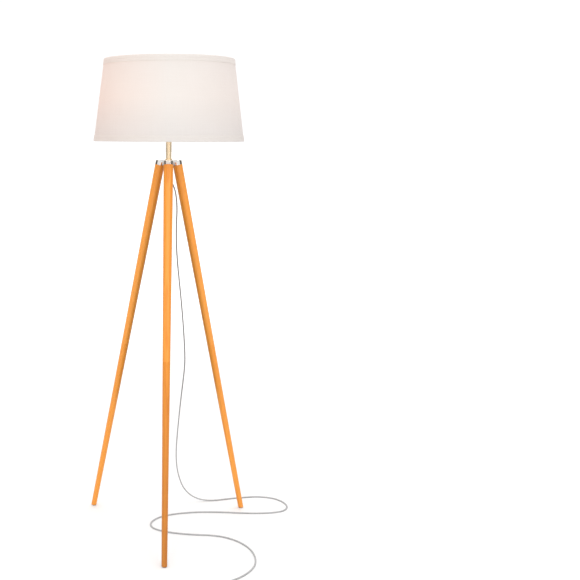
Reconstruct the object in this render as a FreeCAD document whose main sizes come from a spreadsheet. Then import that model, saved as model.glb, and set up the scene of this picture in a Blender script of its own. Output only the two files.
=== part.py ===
import FreeCAD, Part
import math
import os
from FreeCAD import Vector, Rotation, Placement

# Tripod floor lamp: three turned wooden legs that screw into a chromed hub,
# a brass neck, a threaded lamp socket with a turn knob, a bulb, a tapered drum
# shade on a recessed wire fitter, and a free mains cord with its plug.
# Millimetres, +Z up, one leg along -Y. The floor is z = 0.

doc = FreeCAD.newDocument("TripodFloorLamp")

# --------------------------------------------------------------- dimensions
sheet = doc.addObject("Spreadsheet::Sheet", "Dims")
DIMS = [
    # the lamp's upright axis stands this far behind the origin, so that the
    # origin is at the middle of the lamp's outline on the floor
    ("axis_y", 37.0),
    ("total_height", 1524.0),
    # shade
    ("shade_height", 248.6),
    ("shade_bottom_rad", 234.8),
    ("shade_top_rad", 201.6),
    ("trim_tall", 18.5),
    ("trim_thick", 0.9),
    ("fabric_thick", 0.9),
    ("liner_thick", 1.2),
    ("wire_dia", 3.0),
    ("rim_gap", 1.8),
    # shade fitter
    ("washer_rad", 27.0),
    ("washer_thick", 2.0),
    ("arm_dia", 3.4),
    ("arm_flat", 58.0),
    # hub
    ("hub_top", 1217.0),
    ("apex_height", 1347.0),
    ("leg_splay", 12.58),
    ("lobe_dia", 31.4),
    ("lobe_seat", 1202.8),
    ("plate_thick", 6.0),
    ("plate_rad", 27.0),
    # legs
    ("leg_top_dia", 30.2),
    ("leg_foot_dia", 17.9),
    ("seam_height", 607.0),
    ("pad_thick", 2.5),
    ("pad_dia", 14.0),
    ("stud_dia", 8.0),
    ("insert_dia", 12.0),
    # neck
    ("nipple_dia", 9.8),
    ("nipple_bore", 6.6),
    ("nipple_low", 1195.0),
    ("nipple_high", 1297.0),
    ("collar_dia", 21.5),
    ("collar_tall", 5.0),
    ("neck_dia", 17.6),
    ("neck_wall", 1.0),
    ("neck_tall", 60.0),
    ("check_dia", 25.0),
    ("check_tall", 4.0),
    # socket
    ("cup_dia", 36.0),
    ("cup_tall", 27.0),
    ("cup_wall", 2.2),
    ("body_dia", 38.0),
    ("body_bore", 31.0),
    ("body_tall", 40.0),
    ("flange_dia", 45.0),
    ("flange_low", 15.0),
    ("flange_tall", 4.0),
    ("ring_dia", 49.0),
    ("ring_tall", 7.0),
    ("knob_height", 1304.0),
    ("knob_dia", 13.0),
    ("knob_long", 19.0),
    ("shell_bore", 26.4),
    ("shell_wall", 0.5),
    # bulb
    ("base_dia", 25.9),
    ("globe_dia", 60.0),
    ("bulb_long", 112.0),
    ("bulb_low", 1321.6),
    # cord and plug
    ("cord_dia", 5.0),
    ("plug_long", 27.0),
    ("plug_wide", 24.0),
    ("plug_thick", 14.4),
    ("blade_long", 16.0),
    ("blade_tall", 6.3),
    ("blade_thick", 1.5),
    ("blade_pitch", 12.7),
]
for row, (alias, value) in enumerate(DIMS, start=1):
    sheet.set("A%d" % row, alias)
    sheet.set("B%d" % row, "%g" % value)
    sheet.setAlias("B%d" % row, alias)
doc.recompute()


class Q:
    """A size: its number and the spreadsheet expression that gives it."""

    def __init__(self, value, text):
        self.v = float(value)
        self.t = text

    def __add__(self, o):
        o = q(o)
        return Q(self.v + o.v, "(%s + %s)" % (self.t, o.t))

    def __radd__(self, o):
        return q(o) + self

    def __sub__(self, o):
        o = q(o)
        return Q(self.v - o.v, "(%s - %s)" % (self.t, o.t))

    def __rsub__(self, o):
        return q(o) - self

    def __mul__(self, o):
        o = q(o)
        return Q(self.v * o.v, "(%s * %s)" % (self.t, o.t))

    def __rmul__(self, o):
        return q(o) * self

    def __truediv__(self, o):
        o = q(o)
        return Q(self.v / o.v, "(%s / %s)" % (self.t, o.t))

    def __neg__(self):
        return Q(-self.v, "(0 - %s)" % self.t)


def q(x):
    return x if isinstance(x, Q) else Q(x, "%.6f" % x)


D = {alias: Q(value, "Dims." + alias) for alias, value in DIMS}
SPLAY = D["leg_splay"]
COS = Q(math.cos(math.radians(SPLAY.v)), "cos(Dims.leg_splay * 1 deg)")
SIN = Q(math.sin(math.radians(SPLAY.v)), "sin(Dims.leg_splay * 1 deg)")
TAN = Q(math.tan(math.radians(SPLAY.v)), "tan(Dims.leg_splay * 1 deg)")
AY = D["axis_y"]
ZERO = q(0)

NODES = {}


def keep(obj, name):
    obj.Label = name
    NODES[name] = obj
    return obj


def place(obj, x, y, z, rot=None):
    """Placement with its base bound to the sheet."""
    x, y, z = q(x), q(y), q(z)
    obj.Placement = Placement(Vector(x.v, y.v, z.v), rot or Rotation())
    for axis, e in (("x", x), ("y", y), ("z", z)):
        if "Dims" in e.t:
            obj.setExpression("Placement.Base." + axis, e.t)


def bind(obj, prop, e):
    e = q(e)
    setattr(obj, prop, e.v)
    if "Dims" in e.t:
        obj.setExpression(prop, e.t)


def origin_plane(body, role):
    for f in body.Origin.OriginFeatures:
        if getattr(f, "Role", "") == role:
            return f
    raise RuntimeError("no plane " + role)


def poly_sketch(body, name, role, pts):
    """A closed outline on an origin plane; every corner is bound to the sheet."""
    sk = body.newObject("Sketcher::SketchObject", name)
    sk.AttachmentSupport = [(origin_plane(body, role), "")]
    sk.MapMode = "FlatFace"
    pts = [(q(a), q(b)) for a, b in pts]
    n = len(pts)
    for i in range(n):
        a, b = pts[i], pts[(i + 1) % n]
        sk.addGeometry(Part.LineSegment(Vector(a[0].v, a[1].v, 0), Vector(b[0].v, b[1].v, 0)), False)
    import Sketcher
    for i in range(n):
        sk.addConstraint(Sketcher.Constraint("Coincident", i, 2, (i + 1) % n, 1))
    for i, (a, b) in enumerate(pts):
        if abs(a.v) < 1e-9:
            sk.addConstraint(Sketcher.Constraint("PointOnObject", i, 1, -2))
        else:
            k = sk.addConstraint(Sketcher.Constraint("DistanceX", -1, 1, i, 1, a.v))
            if "Dims" in a.t:
                sk.setExpression("Constraints[%d]" % k, a.t)
        if abs(b.v) < 1e-9:
            sk.addConstraint(Sketcher.Constraint("PointOnObject", i, 1, -1))
        else:
            k = sk.addConstraint(Sketcher.Constraint("DistanceY", -1, 1, i, 1, b.v))
            if "Dims" in b.t:
                sk.setExpression("Constraints[%d]" % k, b.t)
    return sk


def circle_sketch(body, name, role, cx, cy, rad):
    import Sketcher
    cx, cy, rad = q(cx), q(cy), q(rad)
    sk = body.newObject("Sketcher::SketchObject", name)
    sk.AttachmentSupport = [(origin_plane(body, role), "")]
    sk.MapMode = "FlatFace"
    sk.addGeometry(Part.Circle(Vector(cx.v, cy.v, 0), Vector(0, 0, 1), rad.v), False)
    k = sk.addConstraint(Sketcher.Constraint("Radius", 0, rad.v))
    sk.setExpression("Constraints[%d]" % k, rad.t)
    for kind, e, axis in (("DistanceX", cx, -2), ("DistanceY", cy, -1)):
        if abs(e.v) < 1e-9:
            sk.addConstraint(Sketcher.Constraint("PointOnObject", 0, 3, axis))
        else:
            k = sk.addConstraint(Sketcher.Constraint(kind, -1, 1, 0, 3, e.v))
            if "Dims" in e.t:
                sk.setExpression("Constraints[%d]" % k, e.t)
    return sk


def turned(name, pts, at=None, node=True, rot=None):
    """A turned piece: an outline of (radius, height) corners, revolved about Z."""
    body = doc.addObject("PartDesign::Body", name)
    sk = poly_sketch(body, name + "_outline", "XZ_Plane", pts)
    rev = body.newObject("PartDesign::Revolution", name + "_turn")
    rev.Profile = sk
    rev.ReferenceAxis = (sk, ["V_Axis"])
    rev.Angle = 360.0
    sk.Visibility = False
    doc.recompute()
    x, y, z = at or (ZERO, AY, ZERO)
    place(body, x, y, z, rot)
    if node:
        keep(body, name)
    return body


def edges_at(shape, test):
    out = []
    for i, e in enumerate(shape.Edges, start=1):
        c = e.CenterOfMass
        if test(e, c):
            out.append("Edge%d" % i)
    return out


# --------------------------------------------------------------- leg frames
# Each leg has a frame of its own: its origin is where the leg's centre line
# meets the floor, its Z runs up the leg and its X points outwards.
LEGS = (("front", -90.0), ("rear_right", 30.0), ("rear_left", 150.0))
FOOT_R = D["apex_height"] * TAN


def leg_rot(theta):
    return Rotation(Vector(0, 0, 1), theta).multiply(Rotation(Vector(0, 1, 0), -SPLAY.v))


def leg_base(theta, up=ZERO):
    """Point on a leg's centre line, a length 'up' along it from the floor."""
    c, s = math.cos(math.radians(theta)), math.sin(math.radians(theta))
    r = FOOT_R - q(up) * SIN
    return (r * c, AY + r * s, q(up) * COS)


SEAM = D["seam_height"] / COS
SEAT = D["lobe_seat"] / COS
R_TOP = D["leg_top_dia"] / 2
R_FOOT = D["leg_foot_dia"] / 2


def leg_rad(up):
    return R_FOOT + (R_TOP - R_FOOT) * (q(up) / SEAT)


def compound(name, parts):
    c = doc.addObject("Part::Compound", name)
    c.Links = parts
    return keep(c, name)


def on_leg(obj, theta, up):
    x, y, z = leg_base(theta, up)
    place(obj, x, y, z, leg_rot(theta))


# Wooden leg, upper half: tapered, chamfered at both ends, bored for the hub
# stud at its top and for the joint stud at its bottom.
for tag, theta in LEGS:
    name = "leg_upper_" + tag
    bore = D["stud_dia"] / 2
    pts = [
        (ZERO, SEAM + 30), (bore, SEAM + 30), (bore, SEAM), (leg_rad(SEAM) - 0.8, SEAM),
        (leg_rad(SEAM + 0.8), SEAM + 0.8), (leg_rad(SEAT - 0.6), SEAT - 0.6), (leg_rad(SEAT) - 0.6, SEAT),
        (bore, SEAT), (bore, SEAT - 32), (ZERO, SEAT - 32),
    ]
    x, y, z = leg_base(theta)
    turned(name, pts, (x, y, z), rot=leg_rot(theta))

# Wooden leg, lower half: bored for the threaded insert, foot cut level.
for tag, theta in LEGS:
    name = "leg_lower_" + tag
    bore = D["insert_dia"] / 2
    low = q(-6.0)
    pts = [
        (ZERO, low), (leg_rad(ZERO), low), (leg_rad(SEAM - 0.8), SEAM - 0.8), (leg_rad(SEAM) - 0.8, SEAM),
        (bore, SEAM), (bore, SEAM - 30), (ZERO, SEAM - 30),
    ]
    x, y, z = leg_base(theta)
    body = turned(name, pts, (x, y, z), rot=leg_rot(theta))
    before = body.Shape.Volume
    cut = q(16.0)
    mid = D["pad_thick"] / COS
    sk = poly_sketch(body, name + "_level", "XZ_Plane", [
        (-cut, mid + cut * TAN), (-cut, q(-14.0)), (cut, q(-14.0)), (cut, mid - cut * TAN)])
    pk = body.newObject("PartDesign::Pocket", name + "_foot_cut")
    pk.Profile = sk
    pk.Type = "ThroughAll"
    pk.Midplane = True
    sk.Visibility = False
    doc.recompute()
    if not before - body.Shape.Volume > 500:
        raise RuntimeError("the level foot cut removed nothing from " + name)

# Foot pads: round glides on the floor under the level feet.
pads = []
for tag, theta in LEGS:
    c, s = math.cos(math.radians(theta)), math.sin(math.radians(theta))
    r = FOOT_R - D["pad_thick"] * TAN
    pr = D["pad_dia"] / 2
    pads.append(turned("pad_" + tag, [
        (ZERO, ZERO), (pr - 0.6, ZERO), (pr, q(0.6)), (pr, D["pad_thick"]), (ZERO, D["pad_thick"])],
        (r * c, AY + r * s, ZERO), node=False))
compound("foot_pads", pads)

# Threaded inserts in the lower halves, the joint studs that screw into them,
# and the studs that hold the legs to the hub.
ins, studs, hubs = [], [], []
for tag, theta in LEGS:
    ri, rs = D["insert_dia"] / 2, D["stud_dia"] / 2
    b = turned("insert_" + tag, [(rs, ZERO), (ri, ZERO), (ri, q(20.5)), (ri + 1.4, q(20.5)), (ri + 1.4, q(20.6)),
                                 (ri, q(21.9)), (rs, q(21.9))], node=False)
    on_leg(b, theta, SEAM - 22)
    ins.append(b)
    b = turned("joint_stud_" + tag, [(ZERO, ZERO), (rs - 1, ZERO), (rs, q(1)), (rs, q(47)), (rs - 1, q(48)), (ZERO, q(48))],
               node=False)
    on_leg(b, theta, SEAM - 20)
    studs.append(b)
    b = turned("hub_stud_" + tag, [(ZERO, ZERO), (rs - 1, ZERO), (rs, q(1)), (rs, q(38)), (rs - 1, q(39)), (ZERO, q(39))],
               node=False)
    on_leg(b, theta, SEAT - 30)
    hubs.append(b)
compound("leg_joint_inserts", ins)
compound("leg_joint_studs", studs)
compound("hub_leg_studs", hubs)

# --------------------------------------------------------------------- hub
# Chromed casting: three round lobes in line with the legs, joined by a plate
# under which the middle stays open.
lobes, bores = [], []
for tag, theta in LEGS:
    cyl = doc.addObject("Part::Cylinder", "lobe_" + tag)
    bind(cyl, "Radius", D["lobe_dia"] / 2)
    bind(cyl, "Height", q(30))
    on_leg(cyl, theta, SEAT)
    lobes.append(cyl)
    cyl = doc.addObject("Part::Cylinder", "lobe_bore_" + tag)
    bind(cyl, "Radius", D["stud_dia"] / 2)
    bind(cyl, "Height", q(11))
    on_leg(cyl, theta, SEAT - 1)
    bores.append(cyl)
plate = doc.addObject("Part::Cylinder", "hub_plate")
bind(plate, "Radius", D["plate_rad"])
bind(plate, "Height", D["plate_thick"])
place(plate, ZERO, AY, D["hub_top"] - D["plate_thick"])
rib = doc.addObject("Part::Cone", "hub_boss")
bind(rib, "Radius1", q(9.5))
bind(rib, "Radius2", q(12.5))
bind(rib, "Height", q(1.6))
place(rib, ZERO, AY, D["hub_top"] - D["plate_thick"] - 1.6)
hub = doc.addObject("Part::MultiFuse", "hub_fused")
hub.Shapes = lobes + [plate, rib]
hub.Refine = True
lid = doc.addObject("Part::Box", "hub_lid")
for p, e in (("Length", q(120)), ("Width", q(120)), ("Height", q(40))):
    bind(lid, p, e)
place(lid, q(-60), AY - 60, D["hub_top"])
hole = doc.addObject("Part::Cylinder", "hub_hole")
bind(hole, "Radius", D["nipple_dia"] / 2 + 0.2)
bind(hole, "Height", q(40))
place(hole, ZERO, AY, D["hub_top"] - 20)
cuts = doc.addObject("Part::MultiFuse", "hub_cuts")
cuts.Shapes = bores + [lid, hole]
hub_cut = doc.addObject("Part::Cut", "hub_cut")
hub_cut.Base = hub
hub_cut.Tool = cuts
doc.recompute()
top_edges = []
for i, e in enumerate(hub_cut.Shape.Edges, start=1):
    bb = e.BoundBox
    if bb.ZMin > D["hub_top"].v - 0.01 and not (
            e.Curve.TypeId == "Part::GeomCircle" and e.Curve.Radius < 8):
        top_edges.append((i, 1.0, 1.0))
hub_round = doc.addObject("Part::Fillet", "hub_casting")
hub_round.Base = hub_cut
hub_round.Edges = top_edges
doc.recompute()
if hub_round.Shape.isNull() or not hub_round.Shape.isValid() or "Invalid" in hub_round.State:
    raise RuntimeError("hub rounding failed")
keep(hub_round, "hub_casting")

# ------------------------------------------------------- neck and its clamp
NR = D["nipple_dia"] / 2
LOW, HIGH = D["nipple_low"], D["nipple_high"]
NTALL = HIGH - LOW
turned("neck_nipple", [
    (D["nipple_bore"] / 2, ZERO), (NR - 0.6, ZERO), (NR, q(0.6)), (NR, NTALL - 0.6), (NR - 0.6, NTALL),
    (D["nipple_bore"] / 2, NTALL)], (ZERO, AY, LOW))

UNDER = D["hub_top"] - D["plate_thick"] - 1.6
# split spring washer, then a hexagon nut, under the hub
washer = turned("hub_lock_washer", [(NR + 0.2, ZERO), (q(8.6), ZERO), (q(8.6), q(1.5)), (NR + 0.2, q(1.5))],
                (ZERO, AY, UNDER - 1.5))
vol = washer.Shape.Volume
sk = poly_sketch(washer, "washer_split", "XY_Plane", [(q(2.0), q(-0.6)), (q(12), q(-0.2)), (q(12), q(0.8)), (q(2.0), q(0.4))])
pk = washer.newObject("PartDesign::Pocket", "washer_gap")
pk.Profile = sk
pk.Type = "ThroughAll"
pk.Midplane = True
doc.recompute()
if not vol - washer.Shape.Volume > 1:
    raise RuntimeError("the washer's split cut nothing")

nut = doc.addObject("Part::Prism", "nut_hexagon")
nut.Polygon = 6
nut.Circumradius = 8.1
bind(nut, "Height", q(4.4))
nut_hole = doc.addObject("Part::Cylinder", "nut_hole")
bind(nut_hole, "Radius", NR)
bind(nut_hole, "Height", q(4.4))
nut_cone = doc.addObject("Part::Cone", "nut_corner_cone")
bind(nut_cone, "Radius1", q(7.35))
bind(nut_cone, "Radius2", q(7.35) + 7.6)
bind(nut_cone, "Height", q(4.4))
nut_common = doc.addObject("Part::Common", "nut_chamfered")
nut_common.Base = nut
nut_common.Tool = nut_cone
nut_cut = doc.addObject("Part::Cut", "hub_nut")
nut_cut.Base = nut_common
nut_cut.Tool = nut_hole
place(nut_cut, ZERO, AY, UNDER - 1.5 - 4.4)
keep(nut_cut, "hub_nut")

# tapered strain relief, screwed on the nipple's lower end
BUSH_LOW = q(1178.0)
turned("cord_bushing", [
    (q(1.9), ZERO), (q(3.6), ZERO), (q(4.1), q(1.0)), (q(4.1), q(3.0)), (q(3.7), q(3.2)), (q(3.7), q(4.4)),
    (q(4.6), q(4.6)), (q(4.6), q(7.0)), (q(4.2), q(7.2)), (q(4.2), q(8.4)), (q(5.3), q(8.6)), (q(5.9), q(12.0)),
    (q(6.6), q(15.0)), (q(6.6), LOW + 8 - BUSH_LOW), (NR, LOW + 8 - BUSH_LOW), (NR, LOW - BUSH_LOW),
    (q(1.9), LOW - BUSH_LOW)], (ZERO, AY, BUSH_LOW))

# brass collar, cover tube and check ring on the nipple
CR = D["collar_dia"] / 2
CT = D["collar_tall"]
turned("neck_collar", [
    (NR, ZERO), (CR - 0.6, ZERO), (CR, q(0.8)), (CR, CT - 1.6), (CR - 0.5, CT - 0.6), (CR - 1.5, CT), (NR, CT)],
    (ZERO, AY, D["hub_top"]))
NECK_Z = D["hub_top"] + CT
TR = D["neck_dia"] / 2
turned("neck_tube", [
    (TR - D["neck_wall"], ZERO), (TR - 0.3, ZERO), (TR, q(0.3)), (TR, D["neck_tall"] - 0.3), (TR - 0.3, D["neck_tall"]),
    (TR - D["neck_wall"], D["neck_tall"])], (ZERO, AY, NECK_Z))
CHECK_Z = NECK_Z + D["neck_tall"]
KR = D["check_dia"] / 2
KT = D["check_tall"]
turned("neck_check_ring", [
    (NR, ZERO), (KR - 2.2, ZERO), (KR - 0.7, q(0.9)), (KR, q(2.0)), (KR, KT - 0.5), (KR - 0.5, KT), (NR, KT)],
    (ZERO, AY, CHECK_Z))

# ------------------------------------------------------------------ socket
CUP_Z = CHECK_Z + KT
UR = D["cup_dia"] / 2
UT = D["cup_tall"]
UW = D["cup_wall"]
cup = turned("socket_cup", [
    (NR, ZERO), (UR - 3.5, ZERO), (UR - 1.0, q(1.2)), (UR, q(4.0)), (UR, UT), (UR - UW, UT), (UR - UW, q(5.0)),
    (UR - UW - 3, q(3.4)), (q(8.5), q(3.4)), (q(8.0), q(7.5)), (NR, q(7.5))], (ZERO, AY, CUP_Z))
# side hole for the switch shaft
vol = cup.Shape.Volume
sk = circle_sketch(cup, "cup_shaft_hole", "YZ_Plane", ZERO, D["knob_height"] - CUP_Z, q(2.3))
pk = cup.newObject("PartDesign::Pocket", "cup_shaft_pocket")
pk.Profile = sk
pk.Type = "Length"
pk.Length = 40.0
pk.Reversed = False
doc.recompute()
if not vol - cup.Shape.Volume > 5:
    pk.Reversed = True
    doc.recompute()
if not vol - cup.Shape.Volume > 5:
    raise RuntimeError("the switch shaft's hole cut nothing")
wall = Vector(UR.v - UW.v / 2, AY.v, D["knob_height"].v)
if cup.Shape.isInside(wall, 0.01, True):
    pk.Reversed = not pk.Reversed
    doc.recompute()
if cup.Shape.isInside(wall, 0.01, True):
    raise RuntimeError("the switch shaft's hole is not on its side of the cup")

SB_Z = CUP_Z + UT
BR = D["body_dia"] / 2
BB = D["body_bore"] / 2
BT = D["body_tall"]
FR = D["flange_dia"] / 2
FL = D["flange_low"]
FT = D["flange_tall"]
# threaded shell: a spigot drops into the cup, a floor carries the contacts,
# a flange holds the shade's fitter from below
SP = UR - UW - 0.1
turned("socket_body", [
    (q(1.6), q(2.0)), (SP - 2.0, q(2.0)), (SP - 2.0, q(-3.0)), (SP, q(-3.0)), (SP, ZERO), (BR - 0.6, ZERO),
    (BR, q(0.6)), (BR, FL), (FR - 0.5, FL), (FR, FL + 0.5), (FR, FL + FT - 0.5), (FR - 0.5, FL + FT), (BR, FL + FT),
    (BR, BT - 1.0), (BR - 1.0, BT), (BB, BT), (BB, q(6.0)), (q(1.6), q(6.0))], (ZERO, AY, SB_Z))
turned("socket_insulator", [
    (BB - 1.2, q(6.05)), (BB - 0.2, q(6.05)), (BB - 0.2, BT - 1.2), (BB - 1.2, BT - 1.2)], (ZERO, AY, SB_Z))
SR = D["shell_bore"] / 2
SW = D["shell_wall"]
turned("socket_screw_shell", [
    (q(9.0), q(9.6)), (SR + SW, q(9.6)), (SR + SW, BT - 1.6), (SR, BT - 1.6), (SR, q(10.2)), (q(9.0), q(10.2))],
    (ZERO, AY, SB_Z))
turned("socket_center_contact", [
    (ZERO, q(0.8)), (q(3.0), q(0.8)), (q(3.0), q(2.0)), (q(1.6), q(2.0)), (q(1.6), q(6.0)), (q(4.6), q(6.0)),
    (q(4.6), q(7.2)), (q(2.6), q(8.3)), (ZERO, q(8.3))], (ZERO, AY, SB_Z))
screws = []
for n, sx in (("a", -1), ("b", 1)):
    screws.append(turned("terminal_screw_" + n, [
        (ZERO, ZERO), (q(2.6), ZERO), (q(3.0), q(0.5)), (q(3.0), q(1.6)), (q(1.6), q(1.6)), (q(1.6), q(3.95)), (ZERO, q(3.95))],
        (ZERO, AY + sx * 9.0, SB_Z - 2.0), node=False))
compound("socket_terminal_screws", screws)

# ------------------------------------------------------------ rotary switch
KH = D["knob_height"]
box = doc.addObject("Part::Box", "switch_case")
for p, e in (("Length", q(15)), ("Width", q(13)), ("Height", q(10.6))):
    bind(box, p, e)
place(box, q(-4), AY - 6.5, KH - 5.3)
case_round = doc.addObject("Part::Fillet", "switch_case_round")
case_round.Base = box
doc.recompute()
case_round.Edges = [(i, 1.0, 1.0) for i in range(1, 13)]
bore = doc.addObject("Part::Cylinder", "switch_bore")
bind(bore, "Radius", q(1.56))
bind(bore, "Height", q(20))
place(bore, q(2.0), AY, KH, Rotation(Vector(0, 1, 0), 90))
housing = doc.addObject("Part::Cut", "switch_housing")
housing.Base = case_round
housing.Tool = bore
keep(housing, "switch_housing")

turned("switch_shaft", [(ZERO, ZERO), (q(1.2), ZERO), (q(1.5), q(0.4)), (q(1.5), q(23.6)), (ZERO, q(23.6))],
       (q(2.4), AY, KH), rot=Rotation(Vector(0, 1, 0), 90))
GR = D["knob_dia"] / 2
GL = D["knob_long"]
KNOB_X = UR + 1.0
knob = turned("switch_knob", [
    (q(1.5), ZERO), (q(3.2), ZERO), (q(3.2), q(3.2)), (GR - 1.2, q(4.4)), (GR, q(6.0)), (GR, GL - 1.6), (GR - 1.6, GL),
    (ZERO, GL), (ZERO, q(26.0) - KNOB_X), (q(1.5), q(26.0) - KNOB_X)],
    (KNOB_X, AY, KH), rot=Rotation(Vector(0, 1, 0), 90))
vol = knob.Shape.Volume
sk = circle_sketch(knob, "knob_flute", "XY_Plane", GR + 0.25, ZERO, q(0.85))
pk = knob.newObject("PartDesign::Pocket", "knob_flute_cut")
pk.Profile = sk
pk.Type = "ThroughAll"
pk.Midplane = True
sk.Visibility = False
doc.recompute()
pat = knob.newObject("PartDesign::PolarPattern", "knob_flutes")
pat.Originals = [pk]
pat.Axis = (sk, ["N_Axis"])
pat.Angle = 360.0
pat.Occurrences = 14
knob.Tip = pat
doc.recompute()
print("knob flutes removed", round(vol - knob.Shape.Volume, 1))

# wires from the cord's end up the nipple to the socket
wires = []
for n, sy in (("a", -1), ("b", 1)):
    w = doc.addObject("Part::Cylinder", "lead_" + n)
    bind(w, "Radius", q(1.1))
    bind(w, "Height", HIGH - LOW + 1.0)
    place(w, ZERO, AY + sy * 1.6, LOW + 0.2)
    wires.append(w)
compound("inner_leads", wires)

# -------------------------------------------------------------- shade group
SH = D["shade_height"]
SZ = D["total_height"] - SH
RB, RT = D["shade_bottom_rad"], D["shade_top_rad"]


def env(h):
    """Outer radius of the shade's hems at a height above its lower edge."""
    return RB - (RB - RT) * (q(h) / SH)


tt, ft, lt = D["trim_thick"], D["fabric_thick"], D["liner_thick"]
skin = tt + ft + lt
gap = D["rim_gap"]
turned("shade_fabric", [
    (env(q(1.0)) - tt, q(1.0)), (env(SH - 1.0) - tt, SH - 1.0), (env(SH - 1.0) - tt - ft, SH - 1.0),
    (env(q(1.0)) - tt - ft, q(1.0))], (ZERO, AY, SZ))
turned("shade_liner", [
    (env(gap) - tt - ft, gap), (env(SH - gap) - tt - ft, SH - gap), (env(SH - gap) - skin, SH - gap),
    (env(gap) - skin, gap)], (ZERO, AY, SZ))
wd = D["wire_dia"]
IN1 = skin + wd + 0.3
IN2 = IN1 + tt
turned("shade_bottom_trim", [
    (env(D["trim_tall"]), D["trim_tall"]), (env(q(0.8)), q(0.8)), (env(ZERO) - 0.6, ZERO), (env(ZERO) - IN2 + 0.6, ZERO),
    (env(q(0.8)) - IN2, q(0.8)), (env(q(9)) - IN2, q(9)), (env(q(9)) - IN1, q(9)), (env(q(0.9)) - IN1, q(0.9)),
    (env(q(0.9)) - tt, q(0.9)), (env(D["trim_tall"]) - tt, D["trim_tall"])], (ZERO, AY, SZ))
TL = SH - D["trim_tall"]
turned("shade_top_trim", [
    (env(TL), TL), (env(SH - 0.8), SH - 0.8), (env(SH) - 0.6, SH), (env(SH) - IN2 + 0.6, SH),
    (env(SH - 0.8) - IN2, SH - 0.8), (env(SH - 9) - IN2, SH - 9), (env(SH - 9) - IN1, SH - 9),
    (env(SH - 0.9) - IN1, SH - 0.9), (env(SH - 0.9) - tt, SH - 0.9), (env(TL) - tt, TL)], (ZERO, AY, SZ))
WIRE_H = gap + wd / 2
RING_B = env(WIRE_H) - skin - wd / 2 - 0.15
RING_T = env(SH - WIRE_H) - skin - wd / 2 - 0.15
for name, r, h in (("shade_bottom_wire", RING_B, WIRE_H), ("shade_top_wire", RING_T, SH - WIRE_H)):
    t = doc.addObject("Part::Torus", name)
    bind(t, "Radius1", r)
    bind(t, "Radius2", wd / 2)
    place(t, ZERO, AY, SZ + h)
    keep(t, name)

# wire fitter: a washer on the socket's flange and three dropped arms
WT = D["washer_thick"]
WZ = SB_Z + FL + FT + 0.3
ARM_Z = WZ + 0.15
ar = D["arm_dia"] / 2
dish = doc.addObject("Part::Cylinder", "fitter_disc")
bind(dish, "Radius", D["washer_rad"])
bind(dish, "Height", WT)
place(dish, ZERO, AY, WZ)
eye = doc.addObject("Part::Cylinder", "fitter_eye")
bind(eye, "Radius", BR + 0.4)
bind(eye, "Height", q(20))
place(eye, ZERO, AY, WZ - 10)
plain = doc.addObject("Part::Cut", "fitter_washer")
plain.Base = dish
plain.Tool = eye
arms = [plain]
drop = ARM_Z - (SZ + WIRE_H)
reach = RING_B - 0.9 - D["arm_flat"]
slope = math.degrees(math.atan2(drop.v, reach.v))
for k, theta in enumerate((15.0, 135.0, 255.0)):
    c, s = math.cos(math.radians(theta)), math.sin(math.radians(theta))
    turn = Rotation(Vector(0, 0, 1), theta)
    flat = doc.addObject("Part::Cylinder", "arm_flat_%d" % k)
    bind(flat, "Radius", ar)
    start = FR + 0.7
    bind(flat, "Height", D["arm_flat"] - start)
    place(flat, start * c, AY + start * s, ARM_Z, turn.multiply(Rotation(Vector(0, 1, 0), 90)))
    ball = doc.addObject("Part::Sphere", "arm_bend_%d" % k)
    bind(ball, "Radius", ar + 0.06)
    place(ball, D["arm_flat"] * c, AY + D["arm_flat"] * s, ARM_Z)
    down = doc.addObject("Part::Cylinder", "arm_drop_%d" % k)
    bind(down, "Radius", ar)
    down.Height = math.hypot(drop.v, reach.v)
    down.setExpression("Height", "sqrt(%s * %s + %s * %s)" % (drop.t, drop.t, reach.t, reach.t))
    place(down, D["arm_flat"] * c, AY + D["arm_flat"] * s, ARM_Z,
          turn.multiply(Rotation(Vector(0, 1, 0), 90 + slope)))
    arms += [flat, ball, down]
fitter = doc.addObject("Part::MultiFuse", "shade_spider")
fitter.Shapes = arms
keep(fitter, "shade_spider")

# ring nut over the fitter, fluted for the fingers
RN = D["ring_dia"] / 2
RTALL = D["ring_tall"]
ring = turned("shade_ring_nut", [
    (BR + 0.3, ZERO), (RN - 1.0, ZERO), (RN, q(1.0)), (RN, RTALL - 1.4), (RN - 1.4, RTALL), (BR + 1.0, RTALL),
    (BR + 0.3, RTALL - 0.7)], (ZERO, AY, WZ + WT + 0.3))
vol = ring.Shape.Volume
sk = circle_sketch(ring, "ring_flute", "XY_Plane", RN + 0.9, ZERO, q(1.9))
pk = ring.newObject("PartDesign::Pocket", "ring_flute_cut")
pk.Profile = sk
pk.Type = "ThroughAll"
pk.Midplane = True
sk.Visibility = False
doc.recompute()
pat = ring.newObject("PartDesign::PolarPattern", "ring_flutes")
pat.Originals = [pk]
pat.Axis = (sk, ["N_Axis"])
pat.Angle = 360.0
pat.Occurrences = 18
ring.Tip = pat
doc.recompute()
print("ring flutes removed", round(vol - ring.Shape.Volume, 1))

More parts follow.
